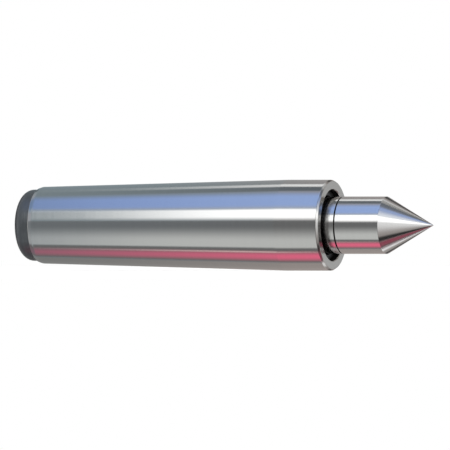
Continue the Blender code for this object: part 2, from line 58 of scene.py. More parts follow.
# Shank. A hollow bar of case-hardened steel, turned, then ground along its self-holding taper and its collar.
# The wheel leaves fine lines round it, and the front face keeps the rings of the lathe tool.
# The stepped bore that takes the bearings is only machined; its near-black colour is painted shade, standing
# for the dark inside of the bore.
MM = 0.001
shank_low, shank_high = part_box("shank_body")
SHANK_TURNS = 320
SHANK_REAR = shank_low.x
REAR_RADIUS = 18.3 * MM
TAPER_SMALL_END = -122.9 * MM
TAPER_SMALL_RADIUS = 18.966 * MM
COLLAR_START = 5.72 * MM
COLLAR_RADIUS = shank_high.z
FACE = shank_high.x
FACE_CHAMFER_LENGTH = 1.15 * MM
FACE_CHAMFER_DEPTH = 0.664 * MM
MOUTH_RADIUS = 17.5 * MM
MOUTH_CHAMFER = 0.4 * MM
FRONT_BORE_FLOOR = -12.8 * MM
MIDDLE_BORE_RADIUS = 11.5 * MM
REAR_SEAT_START = -74 * MM
REAR_SEAT_RADIUS = 11 * MM
CHAMBER_START = -93 * MM
CHAMBER_RADIUS = 14.5 * MM
PLUG_THREAD_START = -106 * MM
PLUG_THREAD_RADIUS = 15 * MM
SHARP = 0.0
REAR_EDGE_EASE = 0.3 * MM
REAR_CHAMFER_EASE = 0.25 * MM
COLLAR_EDGE_EASE = 0.15 * MM
FACE_EDGE_EASE = 0.2 * MM
MOUTH_EDGE_EASE = 0.08 * MM
EASE_STEPS = 7
RUN_STEPS = 14
HOLD = 0.12 * MM
HOLD_SHARE = 0.25
SAME_SPOT = 0.0001 * MM
TINY = 1e-9
WORN_WIDTH = 0.4 * MM
CREASE = math.radians(32)


def eased_outline(corners, closed, steps):
    """Outline of a turned piece, from its corners (x, r, ease, finish) taken in order.

    A corner becomes a quarter of an ellipse, which leaves the run behind it and joins the run
    ahead at the distance ease, or at two distances where ease is a pair: the conic that weighs
    its start, corner and end by (1-t)^2, sqrt(2) t(1-t) and t^2. Between two corners lies a
    straight run, with a holding point close to each end. Gives the points, how worn each one
    is (0 to 1, at eased corners), and the finish of the run that follows it.
    """
    spots = np.array([corner[:2] for corner in corners], dtype=float)
    eases = np.array([np.broadcast_to(corner[2], 2) for corner in corners], dtype=float)
    finish = np.array([corner[3] for corner in corners])
    count = len(corners)
    back = np.roll(spots, 1, axis=0) - spots
    ahead = np.roll(spots, -1, axis=0) - spots
    start = spots + eases[:, :1] * back / np.linalg.norm(back, axis=1, keepdims=True)
    end = spots + eases[:, 1:] * ahead / np.linalg.norm(ahead, axis=1, keepdims=True)
    t = np.linspace(0, 1, steps)[None, :, None]
    weigh = [(1 - t) ** 2, math.sqrt(2) * t * (1 - t), t ** 2]
    ease = (weigh[0] * start[:, None] + weigh[1] * spots[:, None] + weigh[2] * end[:, None]) / sum(weigh)
    reach = np.roll(start, -1, axis=0) - end
    length = np.maximum(np.linalg.norm(reach, axis=1), TINY)
    hold = (np.minimum(HOLD, HOLD_SHARE * length) / length)[:, None]
    spread = 0.5 - 0.5 * np.cos(np.linspace(0, math.pi, RUN_STEPS))[None, :]
    run = end[:, None] + (hold + (1 - 2 * hold) * spread)[:, :, None] * reach[:, None]
    points = np.concatenate([ease, run], axis=1).reshape(-1, 2)
    size = eases.max(axis=1, keepdims=True)
    bow = (4 * t * (1 - t))[:, :, 0] * (size > 0) * np.minimum(1, WORN_WIDTH / np.maximum(size, TINY))
    worn = np.concatenate([bow, np.zeros((count, RUN_STEPS))], axis=1).ravel()
    place = np.arange(steps + RUN_STEPS)[None, :]
    follows = ((np.arange(count)[:, None] - (place < steps // 2)) % count).ravel()
    total = len(points) if closed else len(points) - RUN_STEPS
    step = np.linalg.norm(np.roll(points, -1, axis=0) - points, axis=1)
    keep = (step > SAME_SPOT) & (np.arange(len(points)) < total)
    if not closed:
        keep[total - steps:total - 1] = False
        keep[total - 1] = True
    return points[keep], worn[keep], finish[follows[keep]]


def turned_piece(name, corners, turns, finishes, closed, cut=None, ease_steps=EASE_STEPS):
    """A turned piece: row i, column j lies at (x_i, -r_i sin a_j, r_i cos a_j), a_j = 2 pi j / turns.

    The rows are the points of the eased outline, whose finishes are places in the list
    finishes. A closed outline joins its last row to its first. An open one starts and ends on
    the axis, where the row is a single point. cut, where given, moves the points of the grid.
    """
    points, worn, finish = eased_outline(corners, closed, ease_steps)
    angle = 2 * math.pi * np.arange(turns) / turns
    x, r = points[:, :1], points[:, 1:]
    grid = np.stack([x + 0 * angle, -r * np.sin(angle), r * np.cos(angle)], axis=2)
    if cut is not None:
        grid = cut(grid)
    if closed:
        spots = grid.reshape(-1, 3)
        wear = np.repeat(worn, turns)
        number = np.arange(len(spots)).reshape(-1, turns)
        side = np.roll(number, -1, axis=1)
        faces = np.stack([number, side, np.roll(side, -1, 0), np.roll(number, -1, 0)], axis=2)
        faces = faces.reshape(-1, 4).tolist()
        of_face = np.repeat(finish, turns)
    else:
        spots = np.concatenate([grid[0, :1], grid[1:-1].reshape(-1, 3), grid[-1, :1]])
        wear = np.concatenate([worn[:1], np.repeat(worn[1:-1], turns), worn[-1:]])
        number = 1 + np.arange(len(spots) - 2).reshape(-1, turns)
        side = np.roll(number, -1, axis=1)
        foot = np.stack([0 * number[0], side[0], number[0]], axis=1)
        faces = np.stack([number[:-1], side[:-1], side[1:], number[1:]], axis=2)
        head = np.stack([number[-1], side[-1], 0 * side[-1] + len(spots) - 1], axis=1)
        faces = foot.tolist() + faces.reshape(-1, 4).tolist() + head.tolist()
        of_face = np.repeat(finish[:-1], turns)
    mesh = bpy.data.meshes.new(name)
    mesh.from_pydata(spots.tolist(), [], faces)
    mesh.attributes.new("worn", "FLOAT", "POINT").data.foreach_set("value", wear)
    for material in finishes:
        mesh.materials.append(material)
    mesh.polygons.foreach_set("material_index", of_face.astype(np.int32))
    mesh.shade_smooth()
    mesh.set_sharp_from_angle(angle=CREASE)
    piece = bpy.data.objects.new(name, mesh)
    bpy.context.collection.objects.link(piece)
    return piece


def sum_node(tree, operation, *values):
    """One step of arithmetic; each value is a number or the result of another step."""
    node = tree.nodes.new("ShaderNodeMath")
    node.operation = operation
    for socket, value in zip(node.inputs, values):
        if isinstance(value, bpy.types.NodeSocket):
            tree.links.new(value, socket)
        else:
            socket.default_value = value
    return node.outputs[0]


def noise_node(tree, vector, detail, scale=1.0):
    """Fractal noise over a vector, from 0 to 1 and mostly near the middle."""
    node = tree.nodes.new("ShaderNodeTexNoise")
    node.inputs["Scale"].default_value = scale
    node.inputs["Detail"].default_value = detail
    tree.links.new(vector, node.inputs["Vector"])
    return node.outputs["Fac"]


def wheel_lines(tree, spot, pitch, sweep):
    """Where grinding lines lie: the place times pitch along the axis, and times sweep across it."""
    squeeze = tree.nodes.new("ShaderNodeCombineXYZ")
    for socket, value in zip(squeeze.inputs, (pitch, sweep, sweep)):
        tree.links.new(value, socket)
    drawn = tree.nodes.new("ShaderNodeVectorMath")
    drawn.operation = "MULTIPLY"
    tree.links.new(spot, drawn.inputs[0])
    tree.links.new(squeeze.outputs[0], drawn.inputs[1])
    return drawn.outputs[0]


def lathe_rings(tree, spot, pitch, sweep):
    """Where turning rings lie: the distance from the axis plus the place along it, times pitch.

    Across the axis the place times sweep lets the rings drift a little on their way round.
    """
    parts = tree.nodes.new("ShaderNodeSeparateXYZ")
    tree.links.new(spot, parts.inputs[0])
    along, across, upward = parts.outputs
    squares = sum_node(tree, "POWER", across, 2.0), sum_node(tree, "POWER", upward, 2.0)
    radius = sum_node(tree, "SQRT", sum_node(tree, "ADD", *squares))
    ring = sum_node(tree, "MULTIPLY", sum_node(tree, "ADD", radius, along), pitch)
    drift = sum_node(tree, "MULTIPLY", across, sweep)
    rise = sum_node(tree, "MULTIPLY", upward, sweep)
    place = tree.nodes.new("ShaderNodeCombineXYZ")
    for socket, value in zip(place.inputs, (ring, drift, rise)):
        tree.links.new(value, socket)
    return place.outputs[0]


LINES_SHARE = 0.7
HAZE_SHARE = 0.3


def mark_group(name, draw, line_detail, haze_detail, haze_scale):
    """Tool marks of one kind, with the inputs Pitch and Sweep.

    Lines is noise over the place that draw gives, and Haze is slow noise over the surface.
    Tone is the sum of both, each times its share. All three lie round 0.5.
    """
    tree = bpy.data.node_groups.new(name, "ShaderNodeTree")
    for label in ("Pitch", "Sweep"):
        tree.interface.new_socket(label, in_out="INPUT", socket_type="NodeSocketFloat")
    for label in ("Lines", "Haze", "Tone"):
        tree.interface.new_socket(label, in_out="OUTPUT", socket_type="NodeSocketFloat")
    spot = tree.nodes.new("ShaderNodeTexCoord").outputs["Object"]
    given = tree.nodes.new("NodeGroupInput").outputs
    result = tree.nodes.new("NodeGroupOutput").inputs
    lines = noise_node(tree, draw(tree, spot, given["Pitch"], given["Sweep"]), line_detail)
    haze = noise_node(tree, spot, haze_detail, haze_scale)
    shares = sum_node(tree, "MULTIPLY", lines, LINES_SHARE), sum_node(tree, "MULTIPLY", haze, HAZE_SHARE)
    tree.links.new(lines, result["Lines"])
    tree.links.new(haze, result["Haze"])
    tree.links.new(sum_node(tree, "ADD", *shares), result["Tone"])
    return tree


LEAST_RUB = 0.3


def edge_wear():
    """Worn corners: Colour gives way to Edge by the corner's wear times the rub, Haze plus the least rub."""
    tree = bpy.data.node_groups.new("edge_wear", "ShaderNodeTree")
    kinds = {"Colour": "NodeSocketColor", "Edge": "NodeSocketColor", "Haze": "NodeSocketFloat"}
    for label, kind in kinds.items():
        tree.interface.new_socket(label, in_out="INPUT", socket_type=kind)
    tree.interface.new_socket("Colour", in_out="OUTPUT", socket_type="NodeSocketColor")
    given = tree.nodes.new("NodeGroupInput").outputs
    result = tree.nodes.new("NodeGroupOutput").inputs
    corner = tree.nodes.new("ShaderNodeAttribute")
    corner.attribute_name = "worn"
    rub = sum_node(tree, "ADD", given["Haze"], LEAST_RUB)
    rubbed = tree.nodes.new("ShaderNodeMix")
    rubbed.data_type = "RGBA"
    tree.links.new(sum_node(tree, "MULTIPLY", corner.outputs["Fac"], rub), rubbed.inputs["Factor"])
    tree.links.new(given["Colour"], rubbed.inputs["A"])
    tree.links.new(given["Edge"], rubbed.inputs["B"])
    tree.links.new(rubbed.outputs["Result"], result["Colour"])
    return tree


WHEEL = mark_group("wheel_marks", wheel_lines, line_detail=4.0, haze_detail=3.0, haze_scale=55.0)
LATHE = mark_group("lathe_marks", lathe_rings, line_detail=3.0, haze_detail=4.0, haze_scale=90.0)
EDGE_WEAR = edge_wear()
MARK_MIDDLE = 0.5
QUARTER_TURN = 0.25


def marked_finish(name, marks, colour, edge_colour, pitch, sweep, contrast, roughness, spread, depth):
    """A material whose colour, gloss and height follow its tool marks, paler at its worn corners.

    Tone and Lines lie round 0.5: colour varies by contrast and roughness by spread about their
    written values. depth is the height of the marks in metres. Gives the material and its shader.
    """
    material = bpy.data.materials.new(name)
    material.use_nodes = True
    tree = material.node_tree
    shader = tree.nodes["Principled BSDF"]
    mark = tree.nodes.new("ShaderNodeGroup")
    mark.node_tree = marks
    mark.inputs["Pitch"].default_value = pitch
    mark.inputs["Sweep"].default_value = sweep
    shade = tree.nodes.new("ShaderNodeMix")
    shade.data_type = "RGBA"
    shade.inputs["A"].default_value = (*[c * (1 - contrast) for c in colour], 1)
    shade.inputs["B"].default_value = (*[c * (1 + contrast) for c in colour], 1)
    tree.links.new(mark.outputs["Tone"], shade.inputs["Factor"])
    wear = tree.nodes.new("ShaderNodeGroup")
    wear.node_tree = EDGE_WEAR
    wear.inputs["Edge"].default_value = (*edge_colour, 1)
    tree.links.new(shade.outputs["Result"], wear.inputs["Colour"])
    tree.links.new(mark.outputs["Haze"], wear.inputs["Haze"])
    tree.links.new(wear.outputs["Colour"], shader.inputs["Base Color"])
    offset = sum_node(tree, "SUBTRACT", mark.outputs["Tone"], MARK_MIDDLE)
    swing = sum_node(tree, "MULTIPLY", offset, 2 * spread)
    tree.links.new(sum_node(tree, "ADD", swing, roughness), shader.inputs["Roughness"])
    relief = tree.nodes.new("ShaderNodeBump")
    relief.inputs["Distance"].default_value = depth
    tree.links.new(mark.outputs["Lines"], relief.inputs["Height"])
    tree.links.new(relief.outputs[0], shader.inputs["Normal"])
    return material, shader


def steel_finish(name, marks, colour, edge_colour, lean, **values):
    """A marked finish in bare metal, with its gloss drawn out along the axis by lean, from 0 to 1."""
    material, shader = marked_finish(name, marks, colour, edge_colour, **values)
    shader.inputs["Metallic"].default_value = 1.0
    shader.inputs["Anisotropic"].default_value = lean
    shader.inputs["Anisotropic Rotation"].default_value = QUARTER_TURN
    round_axis = material.node_tree.nodes.new("ShaderNodeTangent")
    round_axis.direction_type = "RADIAL"
    round_axis.axis = "X"
    material.node_tree.links.new(round_axis.outputs[0], shader.inputs["Tangent"])
    return material


GROUND_STEEL = (0.63, 0.63, 0.625)
GROUND_EDGE = (0.74, 0.74, 0.73)
TURNED_STEEL = (0.56, 0.56, 0.55)
TURNED_EDGE = (0.70, 0.70, 0.69)
# The near-black finish below is painted shade: it darkens the shank's bore and the spindle's groove, where
# shade falls.
PAINTED_SHADE_STEEL = (0.045, 0.043, 0.040)
PAINTED_SHADE_EDGE = (0.12, 0.115, 0.11)
ground_steel = steel_finish(
    "ground_steel", WHEEL, GROUND_STEEL, GROUND_EDGE, lean=0.7,
    pitch=2500.0, sweep=26.0, contrast=0.06, roughness=0.125, spread=0.03, depth=0.0003 * MM,
)
turned_steel = steel_finish(
    "turned_steel", LATHE, TURNED_STEEL, TURNED_EDGE, lean=0.3,
    pitch=2400.0, sweep=18.0, contrast=0.14, roughness=0.20, spread=0.05, depth=0.0012 * MM,
)
painted_shade_steel = steel_finish(
    "painted_shade_steel", LATHE, PAINTED_SHADE_STEEL, PAINTED_SHADE_EDGE, lean=0.2,
    pitch=1500.0, sweep=40.0, contrast=0.35, roughness=0.42, spread=0.12, depth=0.004 * MM,
)
GROUND, TURNED, PAINTED_SHADE = range(3)
shank_finishes = [ground_steel, turned_steel, painted_shade_steel]
shank_corners = [
    (SHANK_REAR, PLUG_THREAD_RADIUS, SHARP, TURNED),
    (SHANK_REAR, REAR_RADIUS, REAR_EDGE_EASE, GROUND),
    (TAPER_SMALL_END, TAPER_SMALL_RADIUS, REAR_CHAMFER_EASE, GROUND),
    (COLLAR_START, COLLAR_RADIUS, SHARP, GROUND),
    (FACE - FACE_CHAMFER_LENGTH, COLLAR_RADIUS, COLLAR_EDGE_EASE, TURNED),
    (FACE, COLLAR_RADIUS - FACE_CHAMFER_DEPTH, FACE_EDGE_EASE, TURNED),
    (FACE, MOUTH_RADIUS + MOUTH_CHAMFER, MOUTH_EDGE_EASE, TURNED),
    # From the mouth inwards the bore takes the near-black painted shade finish.
    (FACE - MOUTH_CHAMFER, MOUTH_RADIUS, MOUTH_EDGE_EASE, PAINTED_SHADE),
    (FRONT_BORE_FLOOR, MOUTH_RADIUS, SHARP, PAINTED_SHADE),
    (FRONT_BORE_FLOOR, MIDDLE_BORE_RADIUS, SHARP, PAINTED_SHADE),
    (REAR_SEAT_START, MIDDLE_BORE_RADIUS, SHARP, PAINTED_SHADE),
    (REAR_SEAT_START, REAR_SEAT_RADIUS, SHARP, PAINTED_SHADE),
    (CHAMBER_START, REAR_SEAT_RADIUS, SHARP, PAINTED_SHADE),
    (CHAMBER_START, CHAMBER_RADIUS, SHARP, PAINTED_SHADE),
    (PLUG_THREAD_START, CHAMBER_RADIUS, SHARP, PAINTED_SHADE),
    (PLUG_THREAD_START, PLUG_THREAD_RADIUS, SHARP, PAINTED_SHADE),
]
shank = turned_piece("shank", shank_corners, SHANK_TURNS, shank_finishes, closed=True)
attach(shank, "shank")
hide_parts("shank_body")

# End plug. A turned steel plug, blackened in hot salts, that screws into the small end of the shank.
# Its end is well rounded, so that the bar that drives the center out pushes near the axis.
# A hexagon socket in the end takes the key.
plug_low, plug_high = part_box("rear_plug")
PLUG_TURNS = 288
PLUG_END = plug_low.x
PLUG_RADIUS = plug_high.z
PLUG_HEAD = -125.15 * MM
PLUG_HEAD_EASE = 0.3 * MM
PLUG_STRAIGHT = 2.8 * MM
PLUG_ROUND_AXIAL = PLUG_HEAD - PLUG_STRAIGHT - PLUG_END
PLUG_ROUND_RADIAL = 7.7 * MM
PLUG_ROUND_STEPS = 19
PLUG_THREAD_END = plug_high.x
PLUG_THREAD_EASE = 0.6 * MM
PLUG_SCREW_RADIUS = 14.85 * MM
PLUG_GROOVE_FLOOR = 13.25 * MM
PLUG_GROOVE_WIDTH = 2.2 * MM
SOCKET_HALF_FLATS = 7 * MM
SOCKET_FLAT_HALF_TURN = math.pi / 6
SOCKET_DEPTH = 7 * MM
SOCKET_LEAD = 8.4 * MM
SOCKET_LEAD_SLOPE = 0.55
ON_HOLE = 1e-6
LEEWAY = 1.0001
BLACK_OXIDE = (0.080, 0.087, 0.094)
BLACK_EDGE = (0.13, 0.135, 0.14)
BLACK_METAL_SHARE = 0.5
BLACK = 0


def hexagon_socket(grid):
    """Turns the plug's round hole into a hexagon with a coned lead-in.

    At angle a the hexagon reaches half its width over flats / cos(a to the nearest flat). The
    hole's rows are stretched to that, the rows between hole and lead-in circle are spread over
    what is left, and every point is pushed in to the cone that starts at the lead-in circle.
    """
    x, y, z = grid[..., 0], grid[..., 1], grid[..., 2]
    r = np.hypot(y, z)
    turn = np.arctan2(-y, z)
    off_flat = (turn + SOCKET_FLAT_HALF_TURN) % (2 * SOCKET_FLAT_HALF_TURN) - SOCKET_FLAT_HALF_TURN
    reach = SOCKET_HALF_FLATS / np.cos(off_flat)
    share = (r - SOCKET_HALF_FLATS) / (SOCKET_LEAD - SOCKET_HALF_FLATS)
    hole = r * reach / SOCKET_HALF_FLATS
    shaped = np.where(share <= ON_HOLE, hole, reach + share * (SOCKET_LEAD - reach))
    near = (r <= SOCKET_LEAD * LEEWAY) & (x <= PLUG_END + SOCKET_DEPTH * LEEWAY)
    wide = np.where(near, shaped, r) / np.maximum(r, TINY)
    coned = PLUG_END + SOCKET_LEAD_SLOPE * (SOCKET_LEAD - shaped)
    deep = np.where(near, np.maximum(x, coned), x)
    return np.stack([deep, y * wide, z * wide], axis=-1)


black_oxide, oxide_shader = marked_finish(
    "black_oxide", LATHE, BLACK_OXIDE, BLACK_EDGE,
    pitch=1700.0, sweep=30.0, contrast=0.30, roughness=0.30, spread=0.08, depth=0.003 * MM,
)
oxide_shader.inputs["Metallic"].default_value = BLACK_METAL_SHARE
plug_corners = [
    (PLUG_END + SOCKET_DEPTH, 0, SHARP, BLACK),
    (PLUG_END + SOCKET_DEPTH, SOCKET_HALF_FLATS, SHARP, BLACK),
    (PLUG_END, SOCKET_HALF_FLATS, SHARP, BLACK),
    (PLUG_END, SOCKET_LEAD, SHARP, BLACK),
    (PLUG_END, PLUG_RADIUS, (PLUG_ROUND_RADIAL, PLUG_ROUND_AXIAL), BLACK),
    (PLUG_HEAD, PLUG_RADIUS, PLUG_HEAD_EASE, BLACK),
    (PLUG_HEAD, PLUG_GROOVE_FLOOR, SHARP, BLACK),
    (PLUG_HEAD + PLUG_GROOVE_WIDTH, PLUG_GROOVE_FLOOR, SHARP, BLACK),
    (PLUG_HEAD + PLUG_GROOVE_WIDTH, PLUG_SCREW_RADIUS, SHARP, BLACK),
    (PLUG_THREAD_END, PLUG_SCREW_RADIUS, PLUG_THREAD_EASE, BLACK),
    (PLUG_THREAD_END, 0, SHARP, BLACK),
]
plug = turned_piece(
    "end_plug", plug_corners, PLUG_TURNS, [black_oxide],
    closed=False, cut=hexagon_socket, ease_steps=PLUG_ROUND_STEPS,
)
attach(plug, "shank")
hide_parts("rear_plug")

# Retaining ring. A steel ring, blackened and left oily, that closes the mouth over the seal.
# It screws in by the thread round its outside; four slots in its front face take a pin spanner.
ring_low, ring_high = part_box("retaining_ring")
RING_TURNS = 320
RING_FRONT = ring_high.x
RING_BACK = ring_low.x
RING_RADIUS = 17.35 * MM
RING_BORE_RADIUS = 14.6 * MM
RING_FRONT_EASE = 0.25 * MM
SLOT_COUNT = 4
SLOT_HALF_WIDTH = 1.5 * MM
SLOT_DEPTH = 1.6 * MM
OILY_BLACK = (0.050, 0.052, 0.055)
OILY_EDGE = (0.10, 0.10, 0.10)


def spanner_slots(grid):
    """Cuts the slots: within half a width of a slot's middle line, no point stands above the slot's floor.

    The distance from that line is the radius times the sine of the angle to the nearest slot.
    """
    x, y, z = grid[..., 0], grid[..., 1], grid[..., 2]
    pitch = 2 * math.pi / SLOT_COUNT
    away = np.arctan2(-y, z) % pitch - pitch / 2
    slotted = np.abs(np.hypot(y, z) * np.sin(away)) < SLOT_HALF_WIDTH
    sunk = np.where(slotted, np.minimum(x, RING_FRONT - SLOT_DEPTH), x)
    return np.stack([sunk, y, z], axis=-1)


oily_black = steel_finish(
    "oily_black", LATHE, OILY_BLACK, OILY_EDGE, lean=0.2,
    pitch=1700.0, sweep=30.0, contrast=0.30, roughness=0.36, spread=0.10, depth=0.003 * MM,
)
ring_corners = [
    (RING_BACK, RING_BORE_RADIUS, SHARP, BLACK),
    (RING_BACK, RING_RADIUS, SHARP, BLACK),
    (RING_FRONT, RING_RADIUS, RING_FRONT_EASE, BLACK),
    (RING_FRONT, RING_BORE_RADIUS, RING_FRONT_EASE, BLACK),
]
ring = turned_piece(
    "retaining_ring_black", ring_corners, RING_TURNS, [oily_black],
    closed=True, cut=spanner_slots,
)
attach(ring, "shank")
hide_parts("retaining_ring")

# Shaft seal and sealing ring. A moulded rubber lip in a drawn steel case keeps grit out of the bearings.
# A rubber ring under the plug's head keeps the grease in.
RUBBER = (0.030, 0.030, 0.032)
RUBBER_EDGE = (0.06, 0.06, 0.06)
RUBBER_SHEEN = 0.4
DRAWN_STEEL = (0.48, 0.48, 0.47)
DRAWN_EDGE = (0.60, 0.60, 0.59)
nitrile_rubber, rubber_shader = marked_finish(
    "nitrile_rubber", WHEEL, RUBBER, RUBBER_EDGE,
    pitch=260.0, sweep=90.0, contrast=0.25, roughness=0.55, spread=0.10, depth=0.01 * MM,
)
rubber_shader.inputs["Specular IOR Level"].default_value = RUBBER_SHEEN
drawn_steel = steel_finish(
    "drawn_steel", WHEEL, DRAWN_STEEL, DRAWN_EDGE, lean=0.3,
    pitch=700.0, sweep=60.0, contrast=0.14, roughness=0.32, spread=0.08, depth=0.002 * MM,
)


def dress(finish, *starts):
    """Gives the finish to every CAD node whose name starts in one of these ways."""
    for name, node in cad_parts.items():
        if name.startswith(starts):
            for slot in node.material_slots:
                slot.material = finish


dress(nitrile_rubber, "seal_lip", "plug_sealing_ring")
dress(drawn_steel, "seal_case")

# Bearings. Needles in drawn cups carry the spindle across the axis, front and rear.
# A ball thrust bearing takes the push of the work, and a needle thrust bearing the pull.
# Races, needles and balls are ground bearing steel; the cages are pressed from sheet.
RACE_STEEL = (0.60, 0.60, 0.59)
RACE_EDGE = (0.68, 0.68, 0.67)
ROLLER_STEEL = (0.68, 0.68, 0.68)
ROLLER_EDGE = (0.74, 0.74, 0.74)
CAGE_STEEL = (0.50, 0.47, 0.42)
CAGE_EDGE = (0.60, 0.57, 0.52)
race_steel = steel_finish(
    "race_steel", LATHE, RACE_STEEL, RACE_EDGE, lean=0.4,
    pitch=3000.0, sweep=15.0, contrast=0.08, roughness=0.20, spread=0.05, depth=0.001 * MM,
)
roller_steel = steel_finish(
    "roller_steel", WHEEL, ROLLER_STEEL, ROLLER_EDGE, lean=0.2,
    pitch=1800.0, sweep=50.0, contrast=0.06, roughness=0.12, spread=0.04, depth=0.0005 * MM,
)
cage_steel = steel_finish(
    "cage_steel", WHEEL, CAGE_STEEL, CAGE_EDGE, lean=0.1,
    pitch=420.0, sweep=120.0, contrast=0.18, roughness=0.38, spread=0.10, depth=0.003 * MM,
)
dress(drawn_steel, "front_needle_cup", "rear_needle_cup")
dress(race_steel, "thrust_housing_washer", "thrust_shaft_washer", "rear_thrust_fixed", "rear_thrust_turning")
dress(roller_steel, "front_needle_0", "front_needle_1", "front_needle_2", "thrust_ball_0", "thrust_ball_1")
dress(cage_steel, "front_needle_cage", "thrust_ball_cage", "rear_needle_cage", "rear_thrust_cage")

# Spindle. One piece of through-hardened steel, ground between its ends; its nose carries the 60 degree point.
# A fine groove behind the nose marks where the journal starts, and its near-black colour is painted shade;
# behind the bearings the tail is threaded, with a keyway for the tab washer and a centre hole for the
# grinder.
spindle_low, spindle_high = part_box("spindle")
SPINDLE_TURNS = 288
TAIL_END = spindle_low.x
TAIL_RADIUS = 7.5 * MM
TAIL_CHAMFER = 1 * MM
TAIL_EASE = 0.1 * MM
CENTRE_HOLE_RADIUS = 3 * MM
CENTRE_HOLE_DEPTH = 5 * MM
KEYWAY_HALF_WIDTH = 2 * MM
KEYWAY_FLOOR = TAIL_RADIUS - 1.8 * MM
KEYWAY_LENGTH = 14 * MM
REAR_JOURNAL_RADIUS = 8 * MM
NECK_END = -70 * MM
NECK_START = -16 * MM
NECK_RADIUS = 9 * MM
STEP_EASE = 0.2 * MM
THRUST_JOURNAL_RADIUS = 10 * MM
THRUST_SHOULDER = -2.4 * MM
THRUST_SHOULDER_EASE = 0.3 * MM
JOURNAL_RADIUS = 14 * MM
GROOVE_BACK = 34 * MM
GROOVE_FRONT = 34.7 * MM
GROOVE_FLOOR = 13.5 * MM
GROOVE_EASE = 0.1 * MM
NOSE_RADIUS = spindle_high.z
POINT_BASE = 57.2 * MM
POINT_BASE_EASE = 0.08 * MM
POINT_TIP = spindle_high.x
POINT_TIP_RADIUS = 0.12 * MM
POINT_TIP_EASE = 0.09 * MM
HARDENED_STEEL = (0.66, 0.66, 0.655)
HARDENED_EDGE = (0.76, 0.76, 0.75)


def keyway(grid):
    """Cuts the keyway: behind its front end and within its half width, no point stands above its floor."""
    x, y, z = grid[..., 0], grid[..., 1], grid[..., 2]
    within = (x < TAIL_END + KEYWAY_LENGTH) & (np.abs(y) < KEYWAY_HALF_WIDTH)
    return np.stack([x, y, np.where(within, np.minimum(z, KEYWAY_FLOOR), z)], axis=-1)


hardened_steel = steel_finish(
    "hardened_steel", WHEEL, HARDENED_STEEL, HARDENED_EDGE, lean=0.8,
    pitch=1500.0, sweep=22.0, contrast=0.08, roughness=0.15, spread=0.035, depth=0.0005 * MM,
)
spindle_finishes = [hardened_steel, turned_steel, painted_shade_steel]
spindle_corners = [
    (TAIL_END + CENTRE_HOLE_DEPTH, 0, SHARP, TURNED),
    (TAIL_END, CENTRE_HOLE_RADIUS, TAIL_EASE, TURNED),
    (TAIL_END, TAIL_RADIUS - TAIL_CHAMFER, TAIL_EASE, TURNED),
    (TAIL_END + TAIL_CHAMFER, TAIL_RADIUS, STEP_EASE, TURNED),
    (CHAMBER_START, TAIL_RADIUS, SHARP, GROUND),
    (CHAMBER_START, REAR_JOURNAL_RADIUS, STEP_EASE, GROUND),
    (NECK_END, REAR_JOURNAL_RADIUS, STEP_EASE, TURNED),
    (NECK_END, NECK_RADIUS, SHARP, TURNED),
    (NECK_START, NECK_RADIUS, SHARP, TURNED),
    (NECK_START, THRUST_JOURNAL_RADIUS, STEP_EASE, GROUND),
    (THRUST_SHOULDER, THRUST_JOURNAL_RADIUS, SHARP, GROUND),
    (THRUST_SHOULDER, JOURNAL_RADIUS, THRUST_SHOULDER_EASE, GROUND),
    # The groove takes the near-black painted shade finish, a dark line where shade falls in it.
    (GROOVE_BACK, JOURNAL_RADIUS, GROOVE_EASE, PAINTED_SHADE),
    (GROOVE_BACK, GROOVE_FLOOR, SHARP, PAINTED_SHADE),
    (GROOVE_FRONT, GROOVE_FLOOR, SHARP, PAINTED_SHADE),
    (GROOVE_FRONT, NOSE_RADIUS, GROOVE_EASE, GROUND),
    (POINT_BASE, NOSE_RADIUS, POINT_BASE_EASE, GROUND),
    (POINT_TIP, POINT_TIP_RADIUS, POINT_TIP_EASE, GROUND),
    (POINT_TIP, 0, SHARP, GROUND),
]
spindle = turned_piece(
    "spindle_ground", spindle_corners, SPINDLE_TURNS, spindle_finishes,
    closed=False, cut=keyway,
)
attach(spindle, "spindle")
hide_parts("spindle")

# Tail fittings. Two disc springs keep the bearings loaded, and a lock nut on the thread holds them.
# The nut is blackened; the springs and the tab washer that locks the nut are oiled spring steel.
SPRING_STEEL = (0.20, 0.19, 0.18)
SPRING_EDGE = (0.34, 0.33, 0.31)
spring_steel = steel_finish(
    "spring_steel", LATHE, SPRING_STEEL, SPRING_EDGE, lean=0.2,
    pitch=1900.0, sweep=35.0, contrast=0.22, roughness=0.34, spread=0.08, depth=0.002 * MM,
)
dress(spring_steel, "disc_spring", "tab_washer")
dress(black_oxide, "lock_nut")

# Studio. A round pale floor under the part, white round it, and large cards for the steel to mirror.
# A soft lamp above the camera and a weaker one behind draw the shadow.
# The cards show only in the steel: white and tinted ones, dark flags between them, and a net at the mouth.
WORLD_LEVEL = 0.75


def seen_ray(tree):
    """1 for rays that show a surface to the eye, straight, mirrored or through glass.

    0 for rays that only light it.
    """
    path = tree.nodes.new("ShaderNodeLightPath")
    seen = sum_node(tree, "MAXIMUM", path.outputs["Is Camera Ray"], path.outputs["Is Glossy Ray"])
    return sum_node(tree, "MAXIMUM", seen, path.outputs["Is Transmission Ray"])


# All round is white to the eye, and lights the part at its own lower level.
world = bpy.data.worlds.new("studio")
bpy.context.scene.world = world
world.use_nodes = True
tree = world.node_tree
lit = tree.nodes["Background"]
lit.inputs["Color"].default_value = (1, 1, 1, 1)
lit.inputs["Strength"].default_value = WORLD_LEVEL
white = tree.nodes.new("ShaderNodeBackground")
white.inputs["Color"].default_value = (1, 1, 1, 1)
either = tree.nodes.new("ShaderNodeMixShader")
tree.links.new(seen_ray(tree), either.inputs[0])
tree.links.new(lit.outputs[0], either.inputs[1])
tree.links.new(white.outputs[0], either.inputs[2])
tree.links.new(either.outputs[0], tree.nodes["World Output"].inputs[0])


def smooth(share):
    """Eased step: 3 s^2 - 2 s^3 of the share s, held between 0 and 1."""
    s = np.clip(share, 0, 1)
    return s * s * (3 - 2 * s)


